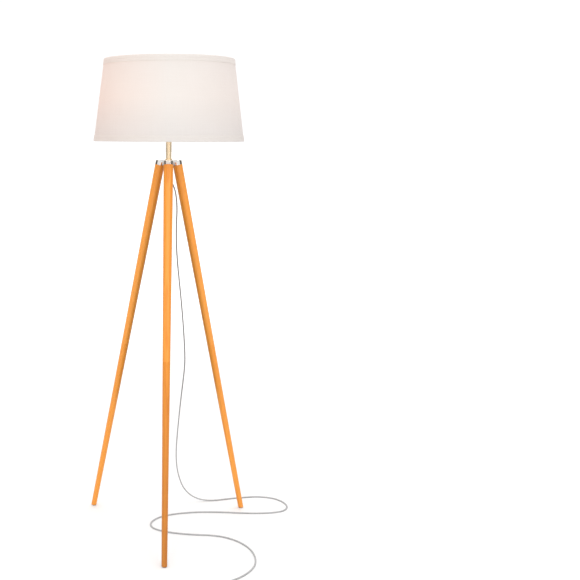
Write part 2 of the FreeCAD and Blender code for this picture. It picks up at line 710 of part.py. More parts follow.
# -------------------------------------------------------------------- bulb
BZ = D["bulb_low"]
CB = D["base_dia"] / 2
turned("bulb_tip_contact", [(ZERO, ZERO), (q(2.4), ZERO), (q(4.6), q(1.4)), (q(4.6), q(3.2)), (ZERO, q(3.2))],
       (ZERO, AY, BZ))
turned("bulb_base_insulator", [(ZERO, q(3.2)), (q(5.4), q(3.2)), (q(10.6), q(5.8)), (q(10.6), q(7.2)), (ZERO, q(7.2))],
       (ZERO, AY, BZ))
turned("bulb_screw_cap", [
    (q(10.6), q(5.8)), (CB, q(8.2)), (CB, q(27.0)), (CB - 0.5, q(27.0)), (CB - 0.5, q(8.6)), (q(10.6), q(7.2))],
    (ZERO, AY, BZ))
turned("bulb_housing", [
    (CB - 2.2, q(19.0)), (CB - 0.55, q(19.0)), (CB - 0.55, q(27.05)), (CB - 0.05, q(27.05)), (CB - 0.05, q(32.4)),
    (q(15.2), q(33.4)), (q(19.4), q(42)), (q(24.4), q(55)), (q(28.0), q(65)), (q(28.4), q(68)), (q(26.6), q(68)),
    (q(26.2), q(65)), (q(22.6), q(55)), (q(17.6), q(42)), (q(13.4), q(35)), (CB - 2.2, q(32.4))], (ZERO, AY, BZ))
turned("led_board", [(ZERO, q(60.0)), (q(24.0), q(60.0)), (q(24.0), q(61.6)), (ZERO, q(61.6))], (ZERO, AY, BZ))
gr = D["globe_dia"] / 2
gz = D["bulb_long"] - gr
outer = [(gr * math.cos(math.radians(a)), gz + gr * math.sin(math.radians(a))) for a in (-18, -8, 4, 16, 28, 40, 52, 64, 77)]
gi = gr - 1.5
inner = [(gi * math.cos(math.radians(a)), gz + gi * math.sin(math.radians(a))) for a in (77, 64, 52, 40, 28, 16, 4, -8, -18)]
turned("bulb_globe", [(q(26.5), q(68.05)), (q(27.9), q(68.05))] + outer + [(ZERO, D["bulb_long"]), (ZERO, D["bulb_long"] - 1.5)]
       + inner, (ZERO, AY, BZ))

# -------------------------------------------------- free mains cord and plug
# Corners of the cord's route: down from the strain relief behind the right
# rear leg, round on the floor and out to the plug.
ROUTE = [
    (0.0, 37.0, 1178.0), (1.9, 41.1, 1166.0), (7.0, 51.3, 1152.0), (15.5, 65.6, 1136.0), (23.6, 76.4, 1109.0),
    (27.7, 86.0, 1062.7), (25.2, 94.9, 1002.0), (26.0, 105.0, 935.4), (31.1, 116.1, 867.7), (38.5, 127.4, 797.3),
    (45.6, 137.6, 727.5), (51.5, 149.9, 656.7), (56.2, 160.0, 586.8), (58.2, 169.1, 523.2), (51.6, 176.9, 455.5),
    (44.0, 185.4, 383.4), (37.9, 191.4, 314.2), (32.5, 197.2, 248.3), (29.8, 202.1, 191.3), (32.2, 206.7, 141.4),
    (41.1, 211.5, 96.8), (55.6, 217.1, 58.4), (76.9, 222.3, 31.2), (103.8, 227.3, 13.0), (136.2, 231.8, 4.0),
    (174.5, 237.6, 2.6), (222.0, 254.5, 2.6), (273.2, 268.4, 2.6), (328.1, 278.0, 2.6), (376.0, 268.4, 2.6),
    (409.3, 243.1, 2.6), (427.2, 199.5, 2.6), (413.4, 160.6, 2.6), (377.7, 141.6, 2.6), (319.8, 132.4, 2.6),
    (257.5, 132.2, 2.6), (191.9, 136.9, 2.6), (122.4, 136.3, 2.6), (59.7, 125.3, 2.6), (6.3, 107.4, 2.6),
    (-32.7, 80.5, 2.6), (-54.5, 41.3, 2.6), (-49.1, 4.3, 2.6), (-16.7, -20.9, 2.6), (33.5, -36.0, 2.6),
    (92.6, -44.6, 2.6), (149.9, -45.1, 2.6), (201.5, -60.6, 2.6), (243.3, -94.8, 2.6), (272.8, -143.3, 2.6),
    (283.5, -202.8, 2.6), (274.6, -258.2, 2.6), (244.9, -306.8, 2.6), (204.1, -344.7, 2.6), (164.0, -367.0, 2.6),
    (115.8, -383.2, 2.6), (62.1, -392.1, 2.6), (10.1, -391.9, 3.4), (-33.6, -400.6, 7.2), (-68.2, -412.7, 7.2),
]


def rounded_path(points):
    """Straight runs joined by tangent arcs, each as large as its runs allow."""
    pts = [Vector(*p) for p in points]
    edges, radii, here = [], [], pts[0]
    for i in range(1, len(pts) - 1):
        a, b = pts[i - 1] - pts[i], pts[i + 1] - pts[i]
        cut = 0.45 * min(a.Length, b.Length)
        turn = math.pi - a.getAngle(b)
        radius = cut / math.tan(turn / 2)
        p0 = pts[i] + Vector(a).normalize() * cut
        p1 = pts[i] + Vector(b).normalize() * cut
        way = (Vector(a).normalize() + Vector(b).normalize()).normalize()
        centre = pts[i] + way * math.hypot(radius, cut)
        mid = centre - way * radius
        edges.append(Part.LineSegment(here, p0).toShape())
        edges.append(Part.Arc(p0, mid, p1).toShape())
        radii.append((i, round(radius, 1), round(math.degrees(turn), 1)))
        here = p1
    edges.append(Part.LineSegment(here, pts[-1]).toShape())
    return Part.Wire(edges), radii


path, radii = rounded_path(ROUTE)
print("cord radii (corner, mm, degrees):", radii)
crad = float(sheet.get("cord_dia")) / 2
first = (Vector(*ROUTE[1]) - Vector(*ROUTE[0])).normalize()
section = Part.Wire([Part.Circle(Vector(*ROUTE[0]), first, crad).toShape()])
tube = path.makePipeShell([section], True, False)
cord = doc.addObject("Part::Feature", "power_cord")
cord.Shape = tube
keep(cord, "power_cord")
want = math.pi * crad ** 2 * path.Length
print("cord length", round(path.Length, 1), "volume", round(tube.Volume, 1), "section x length", round(want, 1),
      "lowest", round(tube.BoundBox.ZMin, 3), "valid", tube.isValid())
if abs(tube.Volume - want) > 0.01 * want:
    raise RuntimeError("the cord's volume is not its section times its length")

end = Vector(*ROUTE[-1])
way = (end - Vector(*ROUTE[-2])).normalize()
heading = math.degrees(math.atan2(way.y, way.x))
turn = Rotation(Vector(0, 0, 1), heading)
lay = turn.multiply(Rotation(Vector(0, 1, 0), 90))
RL = 26.0
relief = turned("plug_strain_relief", [
    (ZERO, ZERO), (q(3.1), ZERO), (q(3.3), q(0.6)), (q(3.5), q(5.0)), (q(3.0), q(5.2)), (q(3.0), q(7.0)), (q(3.8), q(7.2)),
    (q(4.0), q(11.0)), (q(3.4), q(11.2)), (q(3.4), q(13.0)), (q(4.3), q(13.2)), (q(4.5), q(17.0)), (q(3.9), q(17.2)),
    (q(3.9), q(19.0)), (q(4.8), q(19.2)), (q(5.2), q(RL)), (ZERO, q(RL))], (q(end.x), q(end.y), q(end.z)), rot=lay)
face = end + way * RL
pl, pw, pt = D["plug_long"], D["plug_wide"], D["plug_thick"]
plug = doc.addObject("PartDesign::Body", "plug_body")
sk = poly_sketch(plug, "plug_outline", "XY_Plane", [
    (ZERO, q(-6.4)), (q(5), -pw / 2 + 1.5), (q(9), -pw / 2), (pl, -pw / 2), (pl, pw / 2), (q(9), pw / 2),
    (q(5), pw / 2 - 1.5), (ZERO, q(6.4))])
pad = plug.newObject("PartDesign::Pad", "plug_pad")
pad.Profile = sk
pad.Length = pt.v
pad.setExpression("Length", pt.t)
sk.Visibility = False
doc.recompute()
rounds = plug.newObject("PartDesign::Fillet", "plug_rounds")
names = edges_at(pad.Shape, lambda e, c: c.x < pl.v - 0.5)
rounds.Base = (pad, names)
rounds.Radius = 1.2
doc.recompute()
place(plug, q(face.x), q(face.y), ZERO, turn)
keep(plug, "plug_body")
blades = []
for n, sy, tall in (("line", -1, D["blade_tall"]), ("neutral", 1, D["blade_tall"] + 1.6)):
    b = doc.addObject("Part::Box", "blade_" + n)
    bind(b, "Length", D["blade_long"])
    bind(b, "Width", D["blade_thick"])
    bind(b, "Height", tall)
    lx, ly = pl, sy * D["blade_pitch"] / 2 - D["blade_thick"] / 2
    c, s = math.cos(math.radians(heading)), math.sin(math.radians(heading))
    place(b, q(face.x) + lx * c - ly * s, q(face.y) + lx * s + ly * c, pt / 2 - tall / 2, turn)
    blades.append(b)
compound("plug_blades", blades)

# ------------------------------------------------------------ checks, export
doc.recompute()
bad = []
for o in doc.Objects:
    if any(f in o.State for f in ("Invalid", "Error")):
        bad.append((o.Name, list(o.State)))
for name, o in NODES.items():
    s = o.Shape
    if s.isNull() or not s.isValid() or not s.Solids:
        bad.append((name, "shape"))
if bad:
    raise RuntimeError("failed objects: %r" % bad)
os.makedirs("parts", exist_ok=True)
for name, o in sorted(NODES.items()):
    s = o.Shape
    s.exportStep(os.path.join("parts", name + ".step"))
    b = s.BoundBox
    print("%-24s solids %d volume %.1f mm3  x %.1f..%.1f y %.1f..%.1f z %.1f..%.1f" % (
        name, len(s.Solids), s.Volume, b.XMin, b.XMax, b.YMin, b.YMax, b.ZMin, b.ZMax))
print(len(NODES), "nodes")
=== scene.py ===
import math

import bmesh
import bpy
import numpy as np
from mathutils import Euler, Matrix, Vector, noise


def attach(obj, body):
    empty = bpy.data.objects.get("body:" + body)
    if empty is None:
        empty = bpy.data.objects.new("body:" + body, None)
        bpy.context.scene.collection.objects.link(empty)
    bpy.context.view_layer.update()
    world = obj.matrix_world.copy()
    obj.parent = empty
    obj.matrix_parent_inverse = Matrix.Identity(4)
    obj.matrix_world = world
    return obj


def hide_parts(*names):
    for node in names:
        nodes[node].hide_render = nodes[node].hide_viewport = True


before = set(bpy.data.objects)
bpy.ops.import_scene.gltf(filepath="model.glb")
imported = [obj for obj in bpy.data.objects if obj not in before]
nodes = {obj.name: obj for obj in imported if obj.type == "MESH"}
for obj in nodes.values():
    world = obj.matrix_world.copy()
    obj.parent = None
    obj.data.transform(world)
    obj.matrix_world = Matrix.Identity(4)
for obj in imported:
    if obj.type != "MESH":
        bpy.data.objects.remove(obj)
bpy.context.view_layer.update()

scene = bpy.context.scene
scene.view_settings.view_transform = "Standard"
scene.view_settings.look = "None"
AY = 37.0  # the lamp's upright axis, millimetres behind the origin
MM = 0.001

FLOOR_LIFT, FLOOR_BACK, FRONT, ZENITH = 0.075, 0.80, 0.82, 1.12
KEY, FILL, TOP = 32, 16, 45

# =============================================================== the camera
F_PX, PX, PY = 890.2, 152.0, 290.0
PITCH, ROLL, HEIGHT, DIST, SIDE, PHI = 0.1741, 0.0034, 1.2991, 2.8233, 0.0509, -0.0351
right = Vector((math.cos(PHI), -math.sin(PHI), 0))
ahead = Vector((math.sin(PHI), math.cos(PHI), 0))
look = ahead * math.cos(PITCH) - Vector((0, 0, math.sin(PITCH)))
up = ahead * math.sin(PITCH) + Vector((0, 0, math.cos(PITCH)))
r2 = right * math.cos(ROLL) + up * math.sin(ROLL)
u2 = up * math.cos(ROLL) - right * math.sin(ROLL)
spot = -right * SIDE - ahead * DIST + Vector((0, AY * MM, HEIGHT))
cam_data = bpy.data.cameras.new("camera")
cam_data.sensor_width = 36.0
cam_data.lens = F_PX / 580 * 36
cam_data.shift_x = (290 - PX) / 580
cam_data.shift_y = (PY - 290) / 580
cam_data.clip_start, cam_data.clip_end = 0.05, 400
cam = bpy.data.objects.new("camera", cam_data)
scene.collection.objects.link(cam)
cam.matrix_world = Matrix((
    (r2.x, u2.x, -look.x, spot.x), (r2.y, u2.y, -look.y, spot.y), (r2.z, u2.z, -look.z, spot.z), (0, 0, 0, 1)))
scene.camera = cam


# ============================================================= mesh helpers
def make(name, verts, faces, smooth=True, sharp=None, uv=None):
    """A mesh object from points in millimetres."""
    me = bpy.data.meshes.new(name)
    me.from_pydata([tuple(c * MM for c in v) for v in verts], [], faces)
    me.update()
    bm = bmesh.new()
    bm.from_mesh(me)
    bmesh.ops.recalc_face_normals(bm, faces=bm.faces)
    bm.to_mesh(me)
    bm.free()
    if uv is not None:
        layer = me.uv_layers.new(name="flat")
        for poly in me.polygons:
            us = [uv[me.loops[i].vertex_index][0] for i in poly.loop_indices]
            wrap = max(us) - min(us) > uv_wrap / 2
            for i in poly.loop_indices:
                u, v = uv[me.loops[i].vertex_index]
                if wrap and u < uv_wrap / 2:
                    u += uv_wrap
                layer.data[i].uv = (u, v)
    me.polygons.foreach_set("use_smooth", [smooth] * len(me.polygons))
    if sharp is not None:
        me.set_sharp_from_angle(angle=math.radians(sharp))
    ob = bpy.data.objects.new(name, me)
    scene.collection.objects.link(ob)
    return ob


uv_wrap = 1.0


def soften(prof, rad, steps=4, closed=True):
    """Rounds the corners of an outline."""
    out, n = [], len(prof)
    for i in range(n):
        p = Vector((prof[i][0], prof[i][1]))
        if not closed and i in (0, n - 1):
            out.append(tuple(p))
            continue
        a, b = Vector(prof[i - 1][:2]) - p, Vector(prof[(i + 1) % n][:2]) - p
        cut = min(rad, 0.42 * a.length, 0.42 * b.length)
        if cut < 1e-4 or a.angle(b, math.pi) > math.radians(172):
            out.append(tuple(p))
            continue
        p0, p1 = p + a.normalized() * cut, p + b.normalized() * cut
        for k in range(steps + 1):
            t = k / steps
            out.append(tuple(p0 * (1 - t) ** 2 + p * 2 * t * (1 - t) + p1 * t ** 2))
    return out


def dense(prof, step, closed=True):
    """Adds points on an outline's long runs."""
    out, n = [], len(prof)
    for i in range(n if closed else n - 1):
        a, b = Vector(prof[i]), Vector(prof[(i + 1) % n])
        k = max(1, int((b - a).length / step))
        for j in range(k):
            out.append(tuple(a.lerp(b, j / k)))
    if not closed:
        out.append(tuple(prof[-1]))
    return out


def revolve(name, prof, segs=96, at=(0, AY, 0), shape=None, loop=True, sharp=38, uv=None, turn=None):
    """Turns an outline of (radius, height) about an upright axis. shape may move each point."""
    verts, faces, rows, uvs = [], [], [], []
    for r, z in prof:
        if r < 1e-4:
            rows.append([len(verts)])
            verts.append(Vector((0, 0, z)))
            uvs.append((0, z))
            continue
        row = []
        for k in range(segs):
            a = 2 * math.pi * k / segs
            rr, zz = (r, z) if shape is None else shape(a, r, z)
            row.append(len(verts))
            verts.append(Vector((rr * math.cos(a), rr * math.sin(a), zz)))
            if uv:
                uvs.append(uv(a, r, z))
        rows.append(row)
    pairs = list(zip(rows, rows[1:] + ([rows[0]] if loop else [])))[: len(rows) if loop else len(rows) - 1]
    for p, q in pairs:
        if len(p) == 1 and len(q) == 1:
            continue
        for k in range(segs):
            j = (k + 1) % segs
            if len(p) == 1:
                faces.append((p[0], q[k], q[j]))
            elif len(q) == 1:
                faces.append((p[k], p[j], q[0]))
            else:
                faces.append((p[k], p[j], q[j], q[k]))
    m = turn or Matrix.Identity(3)
    base = Vector(at)
    return make(name, [m @ v + base for v in verts], faces, sharp=sharp, uv=uvs if uv else None)


def rough(x, y=0.0, z=0.0):
    return noise.noise(Vector((x, y, z)))


# ================================================================= the cord
# The route's corners, in metres; they are the control points of one spline.
ROUTE = [
    (0.0, 0.037, 1.178), (0.0019, 0.0411, 1.166), (0.007, 0.0513, 1.152), (0.0155, 0.0656, 1.136),
    (0.0236, 0.0764, 1.109), (0.0277, 0.086, 1.0627), (0.0252, 0.0949, 1.002), (0.026, 0.105, 0.9354),
    (0.0311, 0.1161, 0.8677), (0.0385, 0.1274, 0.7973), (0.0456, 0.1376, 0.7275), (0.0515, 0.1499, 0.6567),
    (0.0562, 0.16, 0.5868), (0.0582, 0.1691, 0.5232), (0.0516, 0.1769, 0.4555), (0.044, 0.1854, 0.3834),
    (0.0379, 0.1914, 0.3142), (0.0325, 0.1972, 0.2483), (0.0298, 0.2021, 0.1913), (0.0322, 0.2067, 0.1414),
    (0.0411, 0.2115, 0.0968), (0.0556, 0.2171, 0.0584), (0.0769, 0.2223, 0.0312), (0.1038, 0.2273, 0.013),
    (0.1362, 0.2318, 0.004), (0.1745, 0.2376, 0.0026), (0.222, 0.2545, 0.0026), (0.2732, 0.2684, 0.0026),
    (0.3281, 0.278, 0.0026), (0.376, 0.2684, 0.0026), (0.4093, 0.2431, 0.0026), (0.4272, 0.1995, 0.0026),
    (0.4134, 0.1606, 0.0026), (0.3777, 0.1416, 0.0026), (0.3198, 0.1324, 0.0026), (0.2575, 0.1322, 0.0026),
    (0.1919, 0.1369, 0.0026), (0.1224, 0.1363, 0.0026), (0.0597, 0.1253, 0.0026), (0.0063, 0.1074, 0.0026),
    (-0.0327, 0.0805, 0.0026), (-0.0545, 0.0413, 0.0026), (-0.0491, 0.0043, 0.0026), (-0.0167, -0.0209, 0.0026),
    (0.0335, -0.036, 0.0026), (0.0926, -0.0446, 0.0026), (0.1499, -0.0451, 0.0026), (0.2015, -0.0606, 0.0026),
    (0.2433, -0.0948, 0.0026), (0.2728, -0.1433, 0.0026), (0.2835, -0.2028, 0.0026), (0.2746, -0.2582, 0.0026),
    (0.2449, -0.3068, 0.0026), (0.2041, -0.3447, 0.0026), (0.164, -0.367, 0.0026), (0.1158, -0.3832, 0.0026),
    (0.0621, -0.3921, 0.0026), (0.0101, -0.3919, 0.0034), (-0.0336, -0.4006, 0.0072), (-0.0682, -0.4127, 0.0072),
]
line_data = bpy.data.curves.new("cord_line", "CURVE")
line_data.dimensions = "3D"
line_data.resolution_u = 14
spline = line_data.splines.new("NURBS")
spline.points.add(len(ROUTE) - 1)
for p, co in zip(spline.points, ROUTE):
    p.co = (*co, 1)
spline.order_u = 3
spline.use_endpoint_u = True
line_ob = bpy.data.objects.new("cord_line", line_data)
scene.collection.objects.link(line_ob)
line_mesh = bpy.data.meshes.new_from_object(line_ob)
PATH = [v.co.copy() for v in line_mesh.vertices]
bpy.data.objects.remove(line_ob)
bpy.data.meshes.remove(line_mesh)

# Twin flex: two cores in one skin, 5 mm wide, with a shallow groove along both flat sides.
ring = []
for k in range(28):
    a = 2 * math.pi * k / 28
    x, y = 2.5 * math.cos(a), 2.32 * math.sin(a)
    y -= math.copysign(0.42 * math.exp(-(x / 0.55) ** 2), y) if abs(y) > 0.5 else 0.0
    ring.append((x, y))
tangents = []
for i in range(len(PATH)):
    tangents.append((PATH[min(i + 1, len(PATH) - 1)] - PATH[max(i - 1, 0)]).normalized())
sides = [None] * len(PATH)
last = None
for i in reversed(range(len(PATH))):
    t = tangents[i]
    if last is None or abs(t.z) < 0.25:
        s = t.cross(Vector((0, 0, 1))).normalized()
        if last is not None and s.dot(last) < 0:
            s = -s
    else:
        s = (last - t * last.dot(t)).normalized()
    sides[i] = last = s
verts, faces = [], []
n = len(ring)
for c, t, s in zip(PATH, tangents, sides):
    w = s.cross(t)
    for x, y in ring:
        verts.append((c / MM) + s * x + w * y)
for i in range(len(PATH) - 1):
    for k in range(n):
        j = (k + 1) % n
        faces.append((i * n + k, i * n + j, (i + 1) * n + j, (i + 1) * n + k))
faces.append(tuple(range(n)))
faces.append(tuple((len(PATH) - 1) * n + k for k in range(n)))
cord = make("mains_cord", verts, faces, sharp=50)

# ================================================================= the plug
tip = Vector(ROUTE[-1]) / MM
way = (Vector(ROUTE[-1]) - Vector(ROUTE[-2])).normalized()
turn = Matrix.Rotation(math.atan2(way.y, way.x), 3, "Z")
face_at = tip + way * 26.0
face_at.z = 0.0


def on_plug(p):
    return turn @ Vector(p) + face_at


# moulded body: rounded sections, wider towards the blades, grip ribs
prof = [(0.0, 4.6, 4.2), (0.5, 5.6, 5.0), (1.6, 6.5, 5.6), (3.0, 8.0, 6.1), (5.0, 9.8, 6.6), (7.2, 11.2, 6.9),
        (9.2, 11.8, 7.05)]
for k in range(4):
    x0 = 10.4 + k * 2.9
    prof += [(x0, 11.9, 7.1), (x0 + 0.35, 11.75, 6.75), (x0 + 1.2, 11.7, 6.65), (x0 + 1.55, 11.9, 7.1)]
prof += [(23.4, 11.95, 7.1), (25.9, 11.95, 7.1), (26.7, 11.6, 6.8), (27.0, 10.9, 6.1)]
verts, faces = [], []
m = 56
for x, hw, ht in prof:
    for k in range(m):
        a = 2 * math.pi * k / m
        ca, sa = math.cos(a), math.sin(a)
        e = 0.62
        verts.append(on_plug((x, hw * math.copysign(abs(ca) ** e, ca), 7.2 + ht * math.copysign(abs(sa) ** e, sa))))
for i in range(len(prof) - 1):
    for k in range(m):
        j = (k + 1) % m
        faces.append((i * m + k, i * m + j, (i + 1) * m + j, (i + 1) * m + k))
for i, x, hw, ht in ((0, 0.0, 4.6, 4.2), (len(prof) - 1, 27.0, 10.9, 6.1)):
    c = len(verts)
    verts.append(on_plug((x, 0, 7.2)))
    for k in range(m):
        faces.append((i * m + k, i * m + (k + 1) % m, c))
plug = make("plug_moulding", verts, faces, sharp=40)

# two folded brass blades, each with its hole and softened tip
verts, faces = [], []
for side, tall in ((-1, 6.3), (1, 7.9)):
    y0 = side * 6.35
    h = tall / 2
    cx = 11.6
    pts = []
    corners = [(0.0, -h), (14.6, -h), (16.0, -h + 1.6), (16.0, h - 1.6), (14.6, h), (0.0, h)]
    for i in range(6):
        a, b = Vector(corners[i]), Vector(corners[(i + 1) % 6])
        for k in range(6):
            pts.append(a.lerp(b, k / 6))
    hole = []
    for p in pts:
        d = (p - Vector((cx, 0))).normalized()
        hole.append(Vector((cx, 0)) + d * 1.6)
    b0 = len(verts)
    k = len(pts)
    for th in (-0.75, 0.75):
        for p in pts:
            inset = 0.25 if abs(p.x - 16) < 1.6 else 0.0
            verts.append(on_plug((p.x + 26.9, y0 + th * (1 - inset), 7.2 + p.y)))
        for p in hole:
            verts.append(on_plug((p.x + 26.9, y0 + th, 7.2 + p.y)))
    for i in range(k):
        j = (i + 1) % k
        o0, o1, i0, i1 = b0 + i, b0 + j, b0 + k + i, b0 + k + j
        p0, p1, q0, q1 = o0 + 2 * k, o1 + 2 * k, i0 + 2 * k, i1 + 2 * k
        faces += [(o0, o1, i1, i0), (p0, q0, q1, p1), (o0, p0, p1, o1), (i0, i1, q1, q0)]
blades = make("plug_contact_blades", verts, faces, sharp=40)

# ================================================================ the shade
SH, SZ = 248.6, 1524.0 - 248.6
RB, RT = 234.8, 201.6


def env(h):
    return RB - (RB - RT) * h / SH


LAP = (math.radians(87.0), math.radians(90.6))


def lap_step(a):
    """The cloth's glued overlap at the back stands a little proud."""
    if LAP[0] < a < LAP[1]:
        return 0.34
    return 0.0


SEGS = 300
SLANT = math.hypot(SH, RB - RT) * MM
uv_wrap = 2 * math.pi * 0.2173


def cloth_uv(a, r, z):
    return (a * 0.2173, (z - SZ) * MM)


def cloth_shape(a, r, z):
    h = z - SZ
    outer = abs(r - (env(h) - 0.9)) < 0.2
    d = 0.06 * rough(a * 9.0, h * 0.02, 3.1)
    return (r + d + (lap_step(a) if outer else 0.0), z)


rows = [1.0 + (SH - 2.0) * k / 36 for k in range(37)]
prof = [(env(h) - 0.9, SZ + h) for h in rows] + [(env(h) - 1.75, SZ + h) for h in reversed(rows)]
fabric = revolve("shade_cloth", prof, segs=SEGS, shape=cloth_shape, uv=cloth_uv, sharp=40)

# hems: a tape folded over each rim round the wire, with its own fold line
IN1 = 0.9 + 0.9 + 1.2 + 3.0 + 0.3
IN2 = IN1 + 0.9


def hem_prof(flip):
    def P(off, h):
        hh = SH - h if flip else h
        return (env(hh) + off, SZ + hh)
    pts = [P(-0.05, 18.5), P(0.10, 17.6), P(0.16, 14.0), P(0.16, 10.4), P(0.04, 9.9), P(-0.16, 9.75), P(0.10, 9.45),
           P(0.20, 8.4), P(0.22, 5.0), P(0.18, 1.9), P(-0.15, 0.55), P(-0.9, 0.0), P(-2.4, -0.05), P(-4.6, -0.05),
           P(-IN2 + 0.8, 0.02), P(-IN2 + 0.15, 0.6), P(-IN2, 2.0), P(-IN2, 8.7), P(-IN2 + 0.25, 9.0),
           P(-IN1 - 0.2, 9.0), P(-IN1, 8.7), P(-IN1, 1.3), P(-IN1 + 0.5, 0.85), P(-1.5, 0.85), P(-0.9, 1.4),
           P(-0.9, 9.0), P(-0.88, 18.2), P(-0.6, 18.5)]
    return dense(pts, 2.2)


def hem_shape(flip):
    def f(a, r, z):
        h = (SZ + SH - z) if flip else (z - SZ)
        wave = 0.22 * rough(a * 14.0, 5.0 if flip else 1.0) + 0.10 * rough(a * 45.0, 9.0)
        dz = wave * max(0.0, min(1.0, (h - 2) / 12)) * (1 if r > env(z - SZ) - 2 else 0.4)
        dr = 0.07 * rough(a * 30.0, h * 0.12, 2.0)
        step = lap_step(a) * 0.9 if r > env(z - SZ) - 1.0 else 0.0
        return (r + dr + step, z + (-dz if flip else dz))
    return f


top_hem = revolve("shade_hem_top", hem_prof(True), segs=SEGS, shape=hem_shape(True), uv=cloth_uv, sharp=60)
low_hem = revolve("shade_hem_bottom", hem_prof(False), segs=SEGS, shape=hem_shape(False), uv=cloth_uv, sharp=60)

# ================================================================= the bulb
BZ = 1321.6
THREAD = 3.63


def thread_cap(a, r, z):
    h = z - BZ
    if r < 11.6:
        return r, z
    ease = max(0.0, min(1.0, (h - 9.4) / 2.0)) * max(0.0, min(1.0, (25.6 - h) / 2.0))
    wave = 0.5 - 0.5 * math.cos(2 * math.pi * (h / THREAD) - a)
    return r - 0.95 * ease * wave, z


prof = [(10.6, BZ + 5.8), (11.5, BZ + 6.5), (12.5, BZ + 7.7), (12.9, BZ + 8.6)]
prof += [(12.92, BZ + 9.0 + k * 0.36) for k in range(49)]
prof += [(12.95, BZ + 26.9), (12.5, BZ + 27.0)]
inner = [(max(r - 0.45 - (1.1 if r > 11.6 else 0), 9.6), z) for r, z in reversed(prof)]
cap = revolve("bulb_threaded_cap", prof + inner, segs=96, shape=lambda a, r, z: thread_cap(a, r, z), sharp=50)


def smooth_line(points, per=6):
    """Points on a smooth curve through the given ones."""
    pts = [Vector(p) for p in points]
    out = []
    for i in range(len(pts) - 1):
        p0, p1, p2, p3 = pts[max(i - 1, 0)], pts[i], pts[i + 1], pts[min(i + 2, len(pts) - 1)]
        for k in range(per):
            t = k / per
            out.append(tuple(0.5 * ((2 * p1) + (p2 - p0) * t + (2 * p0 - 5 * p1 + 4 * p2 - p3) * t * t
                                    + (3 * p1 - p0 - 3 * p2 + p3) * t * t * t)))
    out.append(tuple(pts[-1]))
    return out


shell = smooth_line([(12.9, 27.1), (12.9, 31.6), (14.6, 33.6), (19.2, 42.0), (24.2, 55.0), (27.5, 64.0), (28.35, 67.6)])
prof = [(10.75, BZ + 19.2), (12.2, BZ + 19.2), (12.35, BZ + 26.9)] + [(r, BZ + z) for r, z in shell]
prof += [(28.1, BZ + 67.95), (26.7, BZ + 67.95)]
prof += [(r - 1.9, BZ + z) for r, z in reversed(shell) if z > 34]
prof += [(10.9, BZ + 32.0)]
housing = revolve("bulb_body", prof, segs=96, sharp=50)

gz, gr = 82.0, 30.0
arc = [(gr * math.cos(math.radians(a)), gz + gr * math.sin(math.radians(a))) for a in range(-20, 90, 5)]
prof = [(26.6, 68.1), (27.7, 68.1), (27.95, 68.6)] + smooth_line([(27.9, 69.0), (28.15, 71.6)], 3)[:-1] + arc + [(0.0, gz + gr)]
gi = gr - 1.4
prof += [(0.0, gz + gi)] + [(gi * math.cos(math.radians(a)), gz + gi * math.sin(math.radians(a))) for a in range(88, -24, -4)]
globe = revolve("bulb_diffuser_globe", [(r, BZ + z) for r, z in prof], segs=96, sharp=60)

# --------------------------------------------------- the socket's own thread
SBZ = 1313.0


def thread_shell(a, r, z):
    h = z - SBZ
    ease = max(0.0, min(1.0, (h - 12) / 2.0)) * max(0.0, min(1.0, (37.2 - h) / 2.0))
    if r < 12.5:
        return r, z
    wave = 0.5 + 0.5 * math.cos(2 * math.pi * ((z - BZ) / THREAD) - a)
    return r + 0.55 * ease * wave, z


rows = [SBZ + 10.3 + k * 0.4 for k in range(71)]
prof = [(9.0, SBZ + 9.6), (13.4, SBZ + 9.6)] + [(13.55, z) for z in rows] + [(13.2, z) for z in reversed(rows)] + [(9.0, SBZ + 10.2)]
screw_shell = revolve("socket_threaded_shell", prof, segs=96, shape=thread_shell, sharp=50)


